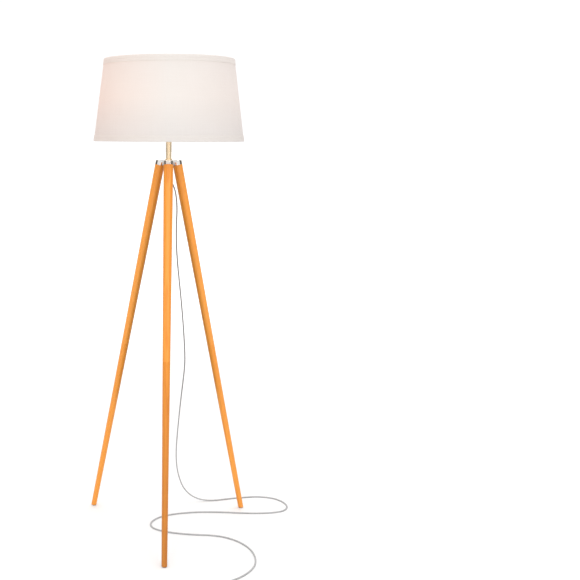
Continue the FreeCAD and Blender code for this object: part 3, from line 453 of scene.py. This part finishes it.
# ================================================================ materials
class Mat:
    """A node material being built."""

    def __init__(self, name):
        self.m = bpy.data.materials.new(name)
        self.m.use_nodes = True
        self.nt = self.m.node_tree
        self.nt.nodes.clear()
        self.out = self.nt.nodes.new("ShaderNodeOutputMaterial")
        self.p = self.nt.nodes.new("ShaderNodeBsdfPrincipled")
        self.nt.links.new(self.p.outputs[0], self.out.inputs[0])
        self.tc = self.nt.nodes.new("ShaderNodeTexCoord")

    def node(self, kind, **props):
        nd = self.nt.nodes.new(kind)
        for k, v in props.items():
            setattr(nd, k, v)
        return nd

    def link(self, a, b):
        self.nt.links.new(a, b)

    def put(self, **vals):
        for k, v in vals.items():
            self.p.inputs[k.replace("_", " ")].default_value = v
        return self

    def where(self, scale=(1, 1, 1), loc=(0, 0, 0), rot=(0, 0, 0), src=None):
        mp = self.node("ShaderNodeMapping")
        mp.inputs["Scale"].default_value = scale
        mp.inputs["Location"].default_value = loc
        mp.inputs["Rotation"].default_value = rot
        self.link(src or self.tc.outputs["Object"], mp.inputs["Vector"])
        return mp.outputs[0]

    def noise(self, vec, scale=1.0, detail=3.0, roughness=0.55, distortion=0.0):
        nd = self.node("ShaderNodeTexNoise")
        nd.inputs["Scale"].default_value = scale
        nd.inputs["Detail"].default_value = detail
        nd.inputs["Roughness"].default_value = roughness
        nd.inputs["Distortion"].default_value = distortion
        self.link(vec, nd.inputs["Vector"])
        return nd.outputs["Fac"]

    def wave(self, vec, scale, direction="X", kind="BANDS", profile="SIN", distortion=0.0, detail=1.0, dscale=1.0):
        nd = self.node("ShaderNodeTexWave", wave_type=kind, wave_profile=profile)
        if kind == "BANDS":
            nd.bands_direction = direction
        else:
            nd.rings_direction = direction
        nd.inputs["Scale"].default_value = scale
        nd.inputs["Distortion"].default_value = distortion
        nd.inputs["Detail"].default_value = detail
        nd.inputs["Detail Scale"].default_value = dscale
        self.link(vec, nd.inputs["Vector"])
        return nd.outputs["Fac"]

    def ramp(self, fac, stops):
        nd = self.node("ShaderNodeValToRGB")
        el = nd.color_ramp.elements
        while len(el) < len(stops):
            el.new(0.5)
        for e, (pos, col) in zip(el, stops):
            e.position = pos
            e.color = (*col, 1) if len(col) == 3 else col
        self.link(fac, nd.inputs["Fac"])
        return nd.outputs["Color"]

    def span(self, fac, lo, hi, a=0.0, b=1.0):
        nd = self.node("ShaderNodeMapRange")
        nd.inputs["From Min"].default_value = a
        nd.inputs["From Max"].default_value = b
        nd.inputs["To Min"].default_value = lo
        nd.inputs["To Max"].default_value = hi
        self.link(fac, nd.inputs["Value"])
        return nd.outputs["Result"]

    def math(self, op, a, b=None):
        nd = self.node("ShaderNodeMath", operation=op)
        for i, x in enumerate((a, b)):
            if x is None:
                continue
            if isinstance(x, (int, float)):
                nd.inputs[i].default_value = x
            else:
                self.link(x, nd.inputs[i])
        return nd.outputs[0]

    def mix(self, fac, a, b, blend="MIX"):
        nd = self.node("ShaderNodeMix", data_type="RGBA", blend_type=blend)
        for sock, x in ((nd.inputs[0], fac), (nd.inputs[6], a), (nd.inputs[7], b)):
            if isinstance(x, (int, float)):
                sock.default_value = x
            elif isinstance(x, tuple):
                sock.default_value = (*x, 1)
            else:
                self.link(x, sock)
        return nd.outputs[2]

    def bump(self, height, dist, strength=1.0, under=None):
        nd = self.node("ShaderNodeBump")
        nd.inputs["Strength"].default_value = strength
        nd.inputs["Distance"].default_value = dist
        self.link(height, nd.inputs["Height"])
        if under is not None:
            self.link(under, nd.inputs["Normal"])
        return nd.outputs[0]

    def colour(self, x):
        self.link(x, self.p.inputs["Base Color"])

    def rough(self, x):
        self.link(x, self.p.inputs["Roughness"])

    def normal(self, x):
        self.link(x, self.p.inputs["Normal"])


def finish(name, light, dark, big=25.0, small=900.0, rough=(0.3, 0.42), relief=0.00002, stretch=(1, 1, 1), **vals):
    """A finish with slow tone changes, a fine surface and roughness that follows both."""
    k = Mat(name)
    v = k.where(stretch)
    slow, fine = k.noise(v, big, 4.0), k.noise(v, small, 3.0)
    both = k.math("ADD", k.math("MULTIPLY", slow, 0.7), k.math("MULTIPLY", fine, 0.3))
    k.colour(k.ramp(both, [(0.36, dark), (0.64, light)]))
    k.rough(k.span(both, rough[0], rough[1], 0.3, 0.7))
    if relief:
        k.normal(k.bump(fine, relief))
    k.put(**vals)
    return k.m


def wood(name, theta, lower, seed):
    """Straight-grained, lacquered beech along one leg's own axis, with painted light and shade: each leg gets its own
    lighter or darker copy of the colours.
    """
    k = Mat(name)
    splay = math.radians(12.58)
    rot = Matrix.Rotation(math.radians(theta), 3, "Z") @ Matrix.Rotation(-splay, 3, "Y")
    foot = 1.347 * math.tan(splay)
    base = Vector((foot * math.cos(math.radians(theta)), AY * MM + foot * math.sin(math.radians(theta)), 0))
    inv = rot.transposed()
    e = inv.to_euler("XYZ")
    local = k.where(rot=(e.x, e.y, e.z), loc=tuple(-(inv @ base)))
    drift = k.node("ShaderNodeTexNoise")
    drift.inputs["Scale"].default_value = 1.0
    drift.inputs["Detail"].default_value = 3.0
    k.link(k.where((9, 9, 2.1), (seed, seed * 0.7, seed * 1.3), src=local), drift.inputs["Vector"])
    off = k.node("ShaderNodeVectorMath", operation="MULTIPLY_ADD")
    k.link(drift.outputs["Color"], off.inputs[0])
    off.inputs[1].default_value = (0.016, 0.016, 0.0)
    off.inputs[2].default_value = (0.021 + 0.004 * math.sin(seed), 0.006 * math.cos(seed * 2), 0)
    bent = k.node("ShaderNodeVectorMath", operation="ADD")
    k.link(local, bent.inputs[0])
    k.link(off.outputs[0], bent.inputs[1])
    rings = k.wave(bent.outputs[0], 78.0, "Z", kind="RINGS", profile="SIN", distortion=0.9, detail=2.0, dscale=1.4)
    fine_rings = k.wave(bent.outputs[0], 210.0, "Z", kind="RINGS", profile="SIN", distortion=1.4, detail=2.0, dscale=2.0)
    streak = k.noise(k.where((230, 230, 3.2), (seed, 0, seed), src=local), 1.0, 4.0, 0.6)
    pores = k.noise(k.where((1500, 1500, 42), (0, seed, 0), src=local), 1.0, 2.0, 0.5)
    tone = k.noise(k.where((14, 14, 2.4), (seed * 2, 1, 0), src=local), 1.0, 2.0)
    f = k.math("ADD", k.math("MULTIPLY", rings, 0.42), k.math("MULTIPLY", fine_rings, 0.14))
    f = k.math("ADD", f, k.math("MULTIPLY", streak, 0.44))
    if lower:
        cols = [(0.93, 0.345, 0.040), (0.89, 0.312, 0.032), (0.76, 0.238, 0.021), (0.83, 0.274, 0.027)]
        # painted light and shade: the front lower leg's copy is made 4 % darker, the rear lower legs' copies lighter
        # and yellower, to suit the light each leg gets
        cols = [(r * 0.96, g * 0.96, b * 0.96) if theta < 0 else (min(0.97, r * 1.08), g * 1.16, b * 1.45) for r, g, b in cols]
    else:
        cols = [(0.96, 0.376, 0.058), (0.93, 0.342, 0.045), (0.80, 0.262, 0.028), (0.90, 0.310, 0.037)]
        # painted light: the rear upper legs' copies are made lighter and yellower, to suit the light they get
        if theta > 0:
            cols = [(min(0.97, r * 1.06), g * 1.12, b * 1.30) for r, g, b in cols]
    col = k.ramp(f, list(zip((0.22, 0.50, 0.78), cols)))
    col = k.mix(k.span(tone, 0.0, 0.45, 0.35, 0.70), col, cols[3])
    fleck = k.span(pores, 0.0, 0.34, 0.60, 0.74)
    col = k.mix(fleck, col, (0.42, 0.125, 0.018))
    if lower and theta < 0:
        # painted shade: this leg's colour darkens towards the floor, standing in for the light falling off there
        up_z = k.node("ShaderNodeSeparateXYZ")
        k.link(k.tc.outputs["Object"], up_z.inputs[0])
        painted_floor_shade = k.node("ShaderNodeVectorMath", operation="SCALE")
        k.link(col, painted_floor_shade.inputs[0])
        k.link(k.span(up_z.outputs["Z"], 0.66, 0.97, 0.0, 0.62), painted_floor_shade.inputs["Scale"])
        col = painted_floor_shade.outputs[0]
    k.colour(col)
    k.rough(k.span(streak, 0.34, 0.46, 0.3, 0.7))
    depth = k.math("SUBTRACT", k.math("MULTIPLY", f, 0.35), k.math("MULTIPLY", fleck, 1.0))
    k.normal(k.bump(depth, 0.00008, 0.7))
    k.put(Coat_Weight=0.22, Coat_Roughness=0.22, Specular_IOR_Level=0.36)
    return k.m


def linen(name, tint, dark, hem=False):
    """Plain-woven slub linen, by the cloth's own flat coordinates, with the lit lamp's warmth painted on as emission,
    warmer on the -X side.
    """
    k = Mat(name)
    uvn = k.node("ShaderNodeUVMap", uv_map="flat")
    src = uvn.outputs[0]
    warp = k.wave(k.where(src=src), 470.0, "X", distortion=1.2, detail=2.0, dscale=1.5)
    weft = k.wave(k.where(src=src), 500.0, "Y", distortion=1.2, detail=2.0, dscale=1.5)
    slub_w = k.noise(k.where((900, 14, 1), src=src), 1.0, 3.0, 0.6)
    slub_f = k.noise(k.where((11, 760, 1), (3, 1, 0), src=src), 1.0, 3.0, 0.6)
    broad = k.noise(k.where((5, 5, 1), src=src), 1.0, 2.0)
    slub = k.math("ADD", k.math("MULTIPLY", slub_w, 0.5), k.math("MULTIPLY", slub_f, 0.5))
    thread = k.math("MULTIPLY", k.math("ADD", warp, weft), 0.5)
    f = k.math("ADD", k.math("MULTIPLY", slub, 0.62), k.math("MULTIPLY", thread, 0.16))
    f = k.math("ADD", f, k.math("MULTIPLY", broad, 0.22))
    k.colour(k.ramp(f, [(0.34, dark), (0.62, tint)]))
    k.rough(k.span(f, 0.95, 0.86, 0.3, 0.7))
    relief = k.math("ADD", k.math("MULTIPLY", thread, 0.6), k.math("MULTIPLY", slub, 0.9))
    k.normal(k.bump(relief, 0.00022 if not hem else 0.00026, 0.75))
    k.put(Sheen_Weight=0.12, Sheen_Roughness=0.6, Specular_IOR_Level=0.2)
    # the lamp is on: painted glow, an emission that stands in for warm light through the cloth, strongest at the
    # globe's height
    sep = k.node("ShaderNodeSeparateXYZ")
    k.link(k.tc.outputs["Object"], sep.inputs[0])
    z = sep.outputs["Z"]
    rise = k.span(z, 0.0, 1.0, 1.275, 1.405)
    fall = k.span(z, 1.0, 0.80, 1.44, 1.524)
    painted_glow = k.math("MULTIPLY", rise, fall)
    weave = k.span(slub, 1.06, 0.94, 0.3, 0.7)
    lit = k.math("MULTIPLY", k.math("ADD", k.math("MULTIPLY", painted_glow, 0.16 if not hem else 0.08), 0.12 if not hem else 0.12), weave)
    # painted light: the glow's colour is set by position, deep warm orange on the -X side and paler towards +X
    side = k.ramp(k.span(sep.outputs["X"], 0.0, 1.0, -0.235, 0.235),
                  [(0.0, (0.92, 0.28, 0.03)), (0.22, (0.80, 0.40, 0.20)), (0.50, (0.58, 0.45, 0.33)), (1.0, (0.66, 0.42, 0.30))])
    k.link(side, k.p.inputs["Emission Color"])
    k.link(lit, k.p.inputs["Emission Strength"])
    return k.m


def metal(name, light, dark, rough=(0.07, 0.14), stretch=(1, 1, 1), big=30.0, small=700.0, relief=0.000004, **vals):
    return finish(name, light, dark, big=big, small=small, rough=rough, relief=relief, stretch=stretch, Metallic=1.0, **vals)


M = {}
M["chrome"] = metal("polished_chrome", (0.97, 0.955, 0.93), (0.94, 0.92, 0.89), (0.05, 0.09))
M["brass"] = metal("satin_brass", (0.98, 0.79, 0.55), (0.95, 0.74, 0.49), (0.16, 0.24), stretch=(1, 1, 0.05), small=1400, relief=0.000006)
M["steel"] = metal("zinc_steel", (0.62, 0.62, 0.61), (0.48, 0.48, 0.48), (0.28, 0.42))
M["nickel"] = metal("nickel_plate", (0.78, 0.75, 0.70), (0.68, 0.65, 0.60), (0.16, 0.28))
M["phenolic"] = finish("moulded_phenolic", (0.030, 0.028, 0.027), (0.016, 0.015, 0.015), rough=(0.26, 0.40), Coat_Weight=0.15)
M["sleeve"] = finish("fibre_sleeve", (0.55, 0.47, 0.36), (0.44, 0.37, 0.27), small=500, rough=(0.7, 0.85))
M["liner"] = finish("styrene_lining", (0.93, 0.91, 0.88), (0.88, 0.86, 0.83), big=10, small=600, rough=(0.42, 0.52), relief=0.000015)
M["wire"] = finish("white_powder_coat", (0.88, 0.88, 0.87), (0.80, 0.80, 0.79), small=1500, rough=(0.32, 0.46), relief=0.00003)
M["bulb_shell"] = finish("white_polycarbonate", (0.86, 0.86, 0.85), (0.80, 0.80, 0.79), small=500, rough=(0.30, 0.40))
M["board"] = finish("board_lacquer", (0.80, 0.81, 0.80), (0.70, 0.71, 0.70), small=300, rough=(0.35, 0.5))
M["pad"] = finish("rubber_pad", (0.05, 0.045, 0.04), (0.03, 0.027, 0.024), small=700, rough=(0.7, 0.85), relief=0.00004)
M["vinyl"] = finish("cord_vinyl", (0.43, 0.43, 0.44), (0.38, 0.38, 0.39), big=60, small=1200, rough=(0.30, 0.42), Coat_Weight=0.35, Coat_Roughness=0.2)
M["plug_vinyl"] = finish("plug_vinyl", (0.50, 0.50, 0.505), (0.44, 0.44, 0.45), big=60, small=900, rough=(0.38, 0.50), relief=0.00003)
M["nylon"] = finish("bushing_nylon", (0.42, 0.42, 0.42), (0.34, 0.34, 0.34), small=800, rough=(0.4, 0.55), relief=0.00003)
M["wire_skin"] = finish("wire_insulation", (0.62, 0.60, 0.56), (0.52, 0.50, 0.46), small=900, rough=(0.4, 0.5))
M["fabric"] = linen("shade_linen", (0.675, 0.660, 0.658), (0.620, 0.604, 0.599))
M["hem"] = linen("hem_linen", (0.695, 0.675, 0.664), (0.635, 0.614, 0.600), hem=True)

k = Mat("lit_globe")
v = k.where((1, 1, 1))
soft = k.noise(v, 40.0, 3.0)
k.colour(k.ramp(soft, [(0.35, (0.90, 0.88, 0.85)), (0.65, (0.96, 0.95, 0.93))]))
k.rough(k.span(soft, 0.42, 0.55, 0.3, 0.7))
k.normal(k.bump(k.noise(v, 1500.0, 2.0), 0.00001))
k.put(Subsurface_Weight=0.0, Specular_IOR_Level=0.4)
k.p.inputs["Emission Color"].default_value = (1.0, 0.80, 0.60, 1)
k.link(k.span(soft, 2.7, 3.1, 0.3, 0.7), k.p.inputs["Emission Strength"])
M["globe"] = k.m

LOOK = {
    "hub_casting": "chrome", "hub_leg_studs": "steel", "hub_lock_washer": "steel", "hub_nut": "nickel",
    "leg_joint_inserts": "nickel", "leg_joint_studs": "steel", "foot_pads": "pad", "cord_bushing": "nylon",
    "inner_leads": "wire_skin", "neck_nipple": "steel", "neck_tube": "brass", "neck_collar": "brass",
    "neck_check_ring": "brass", "socket_cup": "phenolic", "socket_body": "phenolic", "socket_insulator": "sleeve",
    "socket_center_contact": "nickel", "socket_terminal_screws": "nickel", "switch_housing": "phenolic",
    "switch_shaft": "steel", "switch_knob": "phenolic", "shade_ring_nut": "phenolic", "shade_spider": "wire",
    "shade_bottom_wire": "wire", "shade_top_wire": "wire", "shade_liner": "liner", "led_board": "board",
    "bulb_base_insulator": "phenolic", "bulb_tip_contact": "nickel", "plug_strain_relief": "plug_vinyl",
    "shade_fabric": "fabric", "shade_top_trim": "hem", "shade_bottom_trim": "hem", "bulb_globe": "globe",
    "bulb_housing": "bulb_shell", "bulb_screw_cap": "nickel", "socket_screw_shell": "nickel", "power_cord": "vinyl",
    "plug_body": "plug_vinyl", "plug_blades": "nickel",
}
for theta, tag, seed in ((-90.0, "front", 1.7), (30.0, "rear_right", 4.2), (150.0, "rear_left", 7.9)):
    M["wood_upper_" + tag] = wood("wood_upper_" + tag, theta, False, seed)
    M["wood_lower_" + tag] = wood("wood_lower_" + tag, theta, True, seed + 11.0)
    LOOK["leg_upper_" + tag] = "wood_upper_" + tag
    LOOK["leg_lower_" + tag] = "wood_lower_" + tag


def dress(ob, mat):
    ob.data.materials.clear()
    ob.data.materials.append(mat)


for name, ob in nodes.items():
    mat = M[LOOK[name]]
    if len(ob.data.materials) == 0:
        ob.data.materials.append(mat)
    for s in ob.material_slots:
        s.material = mat

for ob, mat, body, slot, stands in (
        (cord, "vinyl", "root", "cord_jacket", ["power_cord"]),
        (plug, "plug_vinyl", "root", "plug_vinyl", ["plug_body"]),
        (blades, "nickel", "root", "brass", ["plug_blades"]),
        (fabric, "fabric", "shade", "shade_cloth", ["shade_fabric"]),
        (top_hem, "hem", "shade", "shade_hem", ["shade_top_trim"]),
        (low_hem, "hem", "shade", "shade_hem", ["shade_bottom_trim"]),
        (cap, "nickel", "bulb", "brass", ["bulb_screw_cap"]),
        (housing, "bulb_shell", "bulb", "bulb_shell", ["bulb_housing"]),
        (globe, "globe", "bulb", "bulb_diffuser", ["bulb_globe"]),
        (screw_shell, "nickel", "root", "brass", ["socket_screw_shell"]),
):
    dress(ob, M[mat])
    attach(ob, body)
    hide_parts(*stands)

# ========================================================== floor and light
me = bpy.data.meshes.new("floor")
S = 60.0
me.from_pydata([(-S, -S, 0), (S, -S, 0), (S, S, 0), (-S, S, 0)], [], [(0, 1, 2, 3)])
floor = bpy.data.objects.new("floor", me)
scene.collection.objects.link(floor)
k = Mat("pale_floor")
tone = k.noise(k.where((1, 1, 1)), 0.7, 2.0)
k.colour(k.ramp(tone, [(0.3, (0.80, 0.80, 0.80)), (0.7, (0.81, 0.81, 0.81))]))
k.put(Roughness=0.85, Specular_IOR_Level=0.1)
k.p.inputs["Emission Color"].default_value = (1, 1, 1, 1)
far = k.node("ShaderNodeVectorMath", operation="LENGTH")
k.link(k.tc.outputs["Object"], far.inputs[0])
lift = k.node("ShaderNodeMapRange", interpolation_type="SMOOTHSTEP")
for key, val in (("From Min", 0.9), ("From Max", 4.5), ("To Min", FLOOR_LIFT), ("To Max", FLOOR_LIFT + 0.45)):
    lift.inputs[key].default_value = val
k.link(far.outputs["Value"], lift.inputs["Value"])
k.link(lift.outputs["Result"], k.p.inputs["Emission Strength"])
# what the floor gives back to the lamp is that of a mid-grey studio floor
back = k.node("ShaderNodeBsdfDiffuse")
back.inputs["Color"].default_value = (FLOOR_BACK, FLOOR_BACK, FLOOR_BACK, 1)
seen_by = k.node("ShaderNodeLightPath")
both = k.node("ShaderNodeMixShader")
k.link(seen_by.outputs["Is Camera Ray"], both.inputs[0])
k.link(back.outputs[0], both.inputs[1])
k.link(k.p.outputs[0], both.inputs[2])
k.link(both.outputs[0], k.out.inputs[0])
me.materials.append(k.m)

# a black card among the legs, which only takes light away, as in a studio
verts, faces = [], []
levels = [(1.190, 0.005), (1.15, 0.010), (1.08, 0.024), (0.95, 0.044), (0.70, 0.074), (0.45, 0.095), (0.36, 0.100)]
for z, r in levels:
    for q in range(24):
        a = 2 * math.pi * q / 24
        verts.append((r * math.cos(a), AY * MM + r * math.sin(a) - 0.012, z))
for i in range(len(levels) - 1):
    for q in range(24):
        faces.append((i * 24 + q, i * 24 + (q + 1) % 24, (i + 1) * 24 + (q + 1) % 24, (i + 1) * 24 + q))
me = bpy.data.meshes.new("black_card")
me.from_pydata(verts, [], faces)
card = bpy.data.objects.new("black_card", me)
scene.collection.objects.link(card)
k = Mat("black_card")
k.colour(k.ramp(k.noise(k.where((1, 1, 1)), 3.0), [(0.3, (0.020, 0.014, 0.010)), (0.7, (0.030, 0.020, 0.014))]))
k.put(Roughness=1.0, Specular_IOR_Level=0.0)
me.materials.append(k.m)
card.visible_camera = False
card.visible_shadow = False
card.visible_transmission = False

world = bpy.data.worlds.new("studio")
scene.world = world
world.use_nodes = True
nt = world.node_tree
nt.nodes.clear()


def wnode(kind, **props):
    nd = nt.nodes.new(kind)
    for key, val in props.items():
        setattr(nd, key, val)
    return nd


def wmath(op, a, b=None):
    nd = wnode("ShaderNodeMath", operation=op)
    for i, x in enumerate((a, b)):
        if isinstance(x, (int, float)):
            nd.inputs[i].default_value = x
        elif x is not None:
            nt.links.new(x, nd.inputs[i])
    return nd.outputs[0]


wout = wnode("ShaderNodeOutputWorld")
seen = wnode("ShaderNodeBackground")
seen.inputs[0].default_value = (1, 1, 1, 1)
seen.inputs[1].default_value = 1.04
lights = wnode("ShaderNodeBackground")
lights.inputs[1].default_value = 1.0
sep = wnode("ShaderNodeSeparateXYZ")
nt.links.new(wnode("ShaderNodeTexCoord").outputs["Generated"], sep.inputs[0])
# azimuth from the front, 0 to 1, the same on both sides
turnw = wmath("ARCTAN2", sep.outputs["X"], wmath("MULTIPLY", sep.outputs["Y"], -1.0))
turnw = wmath("DIVIDE", wmath("ABSOLUTE", turnw), math.pi)
REFLECTED = [(0.0, 1.75), (0.085, 1.75), (0.11, 0.75), (0.14, 0.70), (0.17, 1.30), (0.28, 1.30), (0.35, 0.34), (0.42, 0.14),
             (0.56, 0.12), (0.66, 0.34), (0.76, 0.90), (1.0, 1.0)]
SOFT = [(0.0, 1.16), (0.12, 1.06), (0.25, 0.88), (0.36, 0.60), (0.50, 0.46), (0.64, 0.52), (0.76, 0.88), (1.0, 1.0)]


def around(bands):
    ramp = wnode("ShaderNodeValToRGB")
    nt.links.new(turnw, ramp.inputs[0])
    el = ramp.color_ramp.elements
    for _ in range(len(bands) - 2):
        el.new(0.5)
    for e, (pos, g) in zip(el, bands):
        e.position = pos
        e.color = (g * FRONT, g * FRONT * (0.985 if g > 0.75 else 0.88), g * FRONT * (0.965 if g > 0.75 else 0.78), 1)
    return ramp.outputs[0]


path_node = wnode("ShaderNodeLightPath")
walls = wnode("ShaderNodeMix", data_type="RGBA")
nt.links.new(path_node.outputs["Is Glossy Ray"], walls.inputs[0])
nt.links.new(around(SOFT), walls.inputs[6])
nt.links.new(around(REFLECTED), walls.inputs[7])
zen = wnode("ShaderNodeMapRange", interpolation_type="SMOOTHSTEP")
zen.inputs["From Min"].default_value = 0.34
zen.inputs["From Max"].default_value = 0.58
nt.links.new(sep.outputs["Z"], zen.inputs["Value"])
sky = wnode("ShaderNodeMix", data_type="RGBA")
nt.links.new(zen.outputs["Result"], sky.inputs[0])
nt.links.new(walls.outputs[2], sky.inputs[6])
sky.inputs[7].default_value = (ZENITH, ZENITH, ZENITH, 1)
nt.links.new(sky.outputs[2], lights.inputs[0])
mixw = wnode("ShaderNodeMixShader")
nt.links.new(path_node.outputs["Is Camera Ray"], mixw.inputs[0])
nt.links.new(lights.outputs[0], mixw.inputs[1])
nt.links.new(seen.outputs[0], mixw.inputs[2])
nt.links.new(mixw.outputs[0], wout.inputs[0])


def area(name, at, aim, size, power, colour):
    li = bpy.data.lights.new(name, "AREA")
    li.shape = "RECTANGLE"
    li.size, li.size_y = size
    li.energy = power
    li.color = colour
    ob = bpy.data.objects.new(name, li)
    scene.collection.objects.link(ob)
    ob.location = at
    ob.rotation_mode = "QUATERNION"
    ob.rotation_quaternion = (Vector(aim) - Vector(at)).to_track_quat("-Z", "Y")
    return ob


area("key_softbox", (-0.8, -3.7, 2.9), (0, 0, 1.1), (1.6, 2.0), KEY, (1.0, 0.955, 0.90))
area("fill_softbox", (2.2, -3.3, 2.3), (0, 0, 1.1), (1.6, 2.0), FILL, (0.97, 0.985, 1.0))
area("top_softbox", (0.2, 1.0, 4.2), (0, 0, 0), (2.4, 2.4), TOP, (1, 1, 1))
